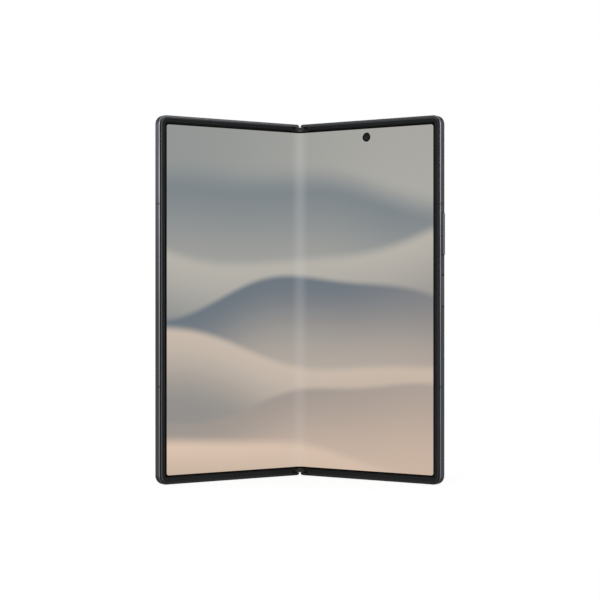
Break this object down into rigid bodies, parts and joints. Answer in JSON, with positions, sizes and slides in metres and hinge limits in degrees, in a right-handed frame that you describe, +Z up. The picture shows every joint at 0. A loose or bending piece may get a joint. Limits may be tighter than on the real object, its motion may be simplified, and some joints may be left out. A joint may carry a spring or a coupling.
{
  "type": "foldable smartphone",
  "caption": "Book-style folding phone, half open on its lower edge, with one folding inner screen, a geared hinge spine, side keys, a charging port and a raised camera deck.",
  "frame": {"origin": "middle of the outline at the lower edge", "axes": "+X across the hinge to the reader's right, +Y away from the reader out of the backs, +Z up the hinge line"},
  "size_m": [0.1242, 0.0418, 0.1584],
  "materials": {
    "frame_metal": "satin anodised, dark graphite",
    "spine_metal": "satin anodised, dark graphite",
    "deck_metal": "satin anodised, dark graphite",
    "key_metal": "satin anodised, dark graphite",
    "ring_metal": "turned, semi-gloss",
    "trim": "matte, near black",
    "band": "matte",
    "screen": "lit screen under a soft gloss film",
    "cover_screen": "dark, unlit",
    "back_glass": "satin, dark graphite",
    "lens_glass": "gloss",
    "camera_black": "matte, black",
    "flash": "gloss, pale",
    "steel": "plain",
    "screw_steel": "plain",
    "port_steel": "plain",
    "gear_steel": "cut teeth",
    "gear_bronze": "cut teeth",
    "cell_foil": "laminated foil pouch, dark",
    "board": "solder resist",
    "coil_copper": "enamelled winding",
    "flex_film": "amber film",
    "port_plastic": "matte, black"
  },
  "bodies": {
    "spine": {"spine_cover": "spine_metal", "spine_caps": "trim", "hinge_blocks": "steel", "gear_block": "steel", "friction_clips": "steel", "block_screws": "screw_steel", "display_fold": "screen", "hinge_flex": "flex_film"},
    "right_half": {"frame_right": "frame_metal", "bezel_right": "trim", "support_plate_right": "steel", "display_right": "screen", "bands_right": "band", "arms_right": "steel", "arm_screws_right": "screw_steel", "rear_glass": "back_glass", "camera_deck": "deck_metal", "lens_rings": "ring_metal", "lens_glasses": "lens_glass", "camera_modules": "camera_black", "flash_lens": "flash", "inner_camera": "camera_black", "battery_right": "cell_foil", "main_board": "board", "board_shields": "steel", "charging_coil": "coil_copper", "usb_shell": "port_steel", "usb_tongue": "port_plastic", "loudspeaker": "camera_black", "vibration_motor": "steel", "key_switches": "steel"},
    "left_half": {"frame_left": "frame_metal", "bezel_left": "trim", "support_plate_left": "steel", "display_left": "screen", "bands_left": "band", "arms_left": "steel", "arm_screws_left": "screw_steel", "cover_glass": "back_glass", "cover_display": "cover_screen", "cover_camera": "camera_black", "earpiece": "camera_black", "battery_left": "cell_foil", "sub_board": "board", "card_reader": "steel"},
    "pinion_right": {"pinion_right": "gear_bronze"},
    "idler_right": {"idler_right": "gear_steel"},
    "idler_left": {"idler_left": "gear_steel"},
    "pinion_left": {"pinion_left": "gear_bronze"},
    "volume_key": {"volume_key": "key_metal"},
    "power_key": {"power_key": "key_metal"},
    "card_tray": {"card_tray": "frame_metal"}
  },
  "joints": [
    {"name": "right_hinge", "type": "hinge", "parent": "spine", "child": "right_half", "pos_m": [0.00125, 0.01767, 0.0792], "axis": [0, 0, -1], "range_deg": [-32.5, 57.5], "deforming": ["display_fold", "hinge_flex"]},
    {"name": "left_hinge", "type": "hinge", "parent": "spine", "child": "left_half", "pos_m": [-0.00125, 0.01767, 0.0792], "axis": [0, 0, 1], "range_deg": [-32.5, 57.5], "deforming": ["display_fold", "hinge_flex"]},
    {"name": "pinion_right_spin", "type": "hinge", "parent": "spine", "child": "pinion_right", "pos_m": [0.00165, 0.01857, 0.0792], "axis": [0, 0, -1], "range_deg": [-91, 161]},
    {"name": "idler_right_spin", "type": "hinge", "parent": "spine", "child": "idler_right", "pos_m": [0.00055, 0.01857, 0.0792], "axis": [0, 0, 1], "range_deg": [-91, 161]},
    {"name": "idler_left_spin", "type": "hinge", "parent": "spine", "child": "idler_left", "pos_m": [-0.00055, 0.01857, 0.0792], "axis": [0, 0, -1], "range_deg": [-91, 161]},
    {"name": "pinion_left_spin", "type": "hinge", "parent": "spine", "child": "pinion_left", "pos_m": [-0.00165, 0.01857, 0.0792], "axis": [0, 0, 1], "range_deg": [-91, 161]},
    {"name": "volume_rocker", "type": "hinge", "parent": "right_half", "child": "volume_key", "pos_m": [0.05986, -0.01789, 0.1074], "axis": [0.5373, 0.8434, 0], "range_deg": [-1, 1], "stiffness_Nm_per_rad": 0.5},
    {"name": "power_press", "type": "slide", "parent": "right_half", "child": "power_key", "axis": [-0.8434, 0.5373, 0], "range_m": [0, 0.0002], "stiffness_N_per_m": 4000},
    {"name": "tray_slide", "type": "slide", "parent": "left_half", "child": "card_tray", "axis": [0, 0, 1], "range_m": [0, 0.016]}
  ],
  "couplings": [
    {"joint": "left_hinge", "follows": "right_hinge", "ratio": 1},
    {"joint": "pinion_right_spin", "follows": "right_hinge", "ratio": 2.8},
    {"joint": "idler_right_spin", "follows": "right_hinge", "ratio": 2.8},
    {"joint": "idler_left_spin", "follows": "right_hinge", "ratio": 2.8},
    {"joint": "pinion_left_spin", "follows": "right_hinge", "ratio": 2.8}
  ]
}
